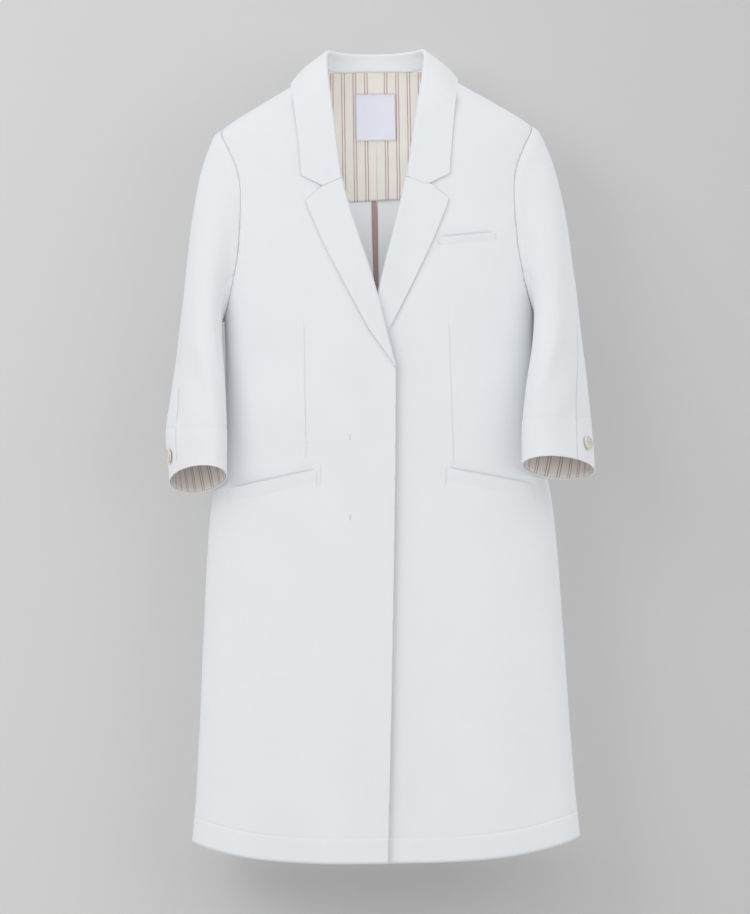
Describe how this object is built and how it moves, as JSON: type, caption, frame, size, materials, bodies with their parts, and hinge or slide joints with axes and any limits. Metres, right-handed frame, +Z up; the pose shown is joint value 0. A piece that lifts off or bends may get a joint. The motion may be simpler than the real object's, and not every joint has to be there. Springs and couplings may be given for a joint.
{
  "type": "lab coat",
  "caption": "Women's white laboratory coat with notched lapels, hidden front fly, welt pockets and three-quarter sleeves, hanging closed.",
  "frame": {"origin": "centre of the neck opening, level with the back neck seam, where a hanger's hook passes", "axes": "+Z up, the front faces -Y, the wearer's left side is at +X"},
  "size_m": [0.5295, 0.1821, 1.0054],
  "materials": {
    "coat_cloth": "pressed cotton twill, optical white",
    "striped_lining": "cream lining with fine paired mauve stripes",
    "mauve_binding": "bias-cut satin tape",
    "label": "woven satin label, blank",
    "thread": "cotton thread",
    "buttons": "polished polyester resin",
    "pocketing": "plain cotton pocketing"
  },
  "bodies": {
    "coat": {"front_right": "coat_cloth", "front_left": "coat_cloth", "neck_facing_right": "coat_cloth", "neck_facing_left": "coat_cloth", "back_right": "coat_cloth", "back_left": "coat_cloth", "yoke_lining": "striped_lining", "centre_back_binding": "mauve_binding", "neck_label": "label", "hip_welt_right": "coat_cloth", "hip_pocket_bag_right": "pocketing", "hip_welt_left": "coat_cloth", "hip_pocket_bag_left": "pocketing", "breast_welt": "coat_cloth", "breast_pocket_bag": "pocketing", "under_collar": "coat_cloth", "top_collar": "coat_cloth", "collar_stand": "coat_cloth", "fly_buttons_upper": "buttons", "fly_button_threads_upper": "thread", "fly_placket_upper": "coat_cloth"},
    "front_skirt_right": {"skirt_right": "coat_cloth", "facing_right": "coat_cloth", "fly_placket_lower": "coat_cloth"},
    "front_skirt_left": {"skirt_left": "coat_cloth", "facing_left": "coat_cloth", "fly_buttons_lower": "buttons", "fly_button_threads_lower": "thread"},
    "lapel_turn_right": {"lapel_right": "coat_cloth", "lapel_under_right": "coat_cloth"},
    "lapel_turn_left": {"lapel_left": "coat_cloth", "lapel_under_left": "coat_cloth"},
    "sleeve_right": {"top_sleeve_right": "coat_cloth", "under_sleeve_right": "coat_cloth", "cuff_facing_right": "striped_lining", "cuff_button_right": "buttons", "cuff_button_thread_right": "thread"},
    "sleeve_left": {"top_sleeve_left": "coat_cloth", "under_sleeve_left": "coat_cloth", "cuff_facing_left": "striped_lining", "cuff_button_left": "buttons", "cuff_button_thread_left": "thread"}
  },
  "joints": [
    {"name": "sleeve_right_raise", "type": "hinge", "parent": "coat", "child": "sleeve_right", "pos_m": [-0.196, 0, -0.066], "axis": [0, 1, 0], "range_deg": [0, 60]},
    {"name": "sleeve_left_raise", "type": "hinge", "parent": "coat", "child": "sleeve_left", "pos_m": [0.196, 0, -0.066], "axis": [0, -1, 0], "range_deg": [0, 60]},
    {"name": "skirt_right_open", "type": "hinge", "parent": "coat", "child": "front_skirt_right", "pos_m": [-0.0601, -0.0745, -0.67], "axis": [-0.2534, -0.0016, -0.9674], "range_deg": [0, 50]},
    {"name": "skirt_left_open", "type": "hinge", "parent": "coat", "child": "front_skirt_left", "pos_m": [0.0601, -0.071, -0.74], "axis": [-0.3219, 0.0181, 0.9466], "range_deg": [0, 30]},
    {"name": "lapel_right_turn", "type": "hinge", "parent": "coat", "child": "lapel_turn_right", "pos_m": [-0.012, -0.06675, -0.2355], "axis": [-0.2687, 0.0609, 0.9613], "range_deg": [0, 65]},
    {"name": "lapel_left_turn", "type": "hinge", "parent": "coat", "child": "lapel_turn_left", "pos_m": [0.0079, -0.0615, -0.234], "axis": [-0.2432, -0.0293, -0.9695], "range_deg": [0, 65]}
  ],
  "couplings": [
    {"joint": "skirt_left_open", "follows": "skirt_right_open", "ratio": 0.6}
  ]
}
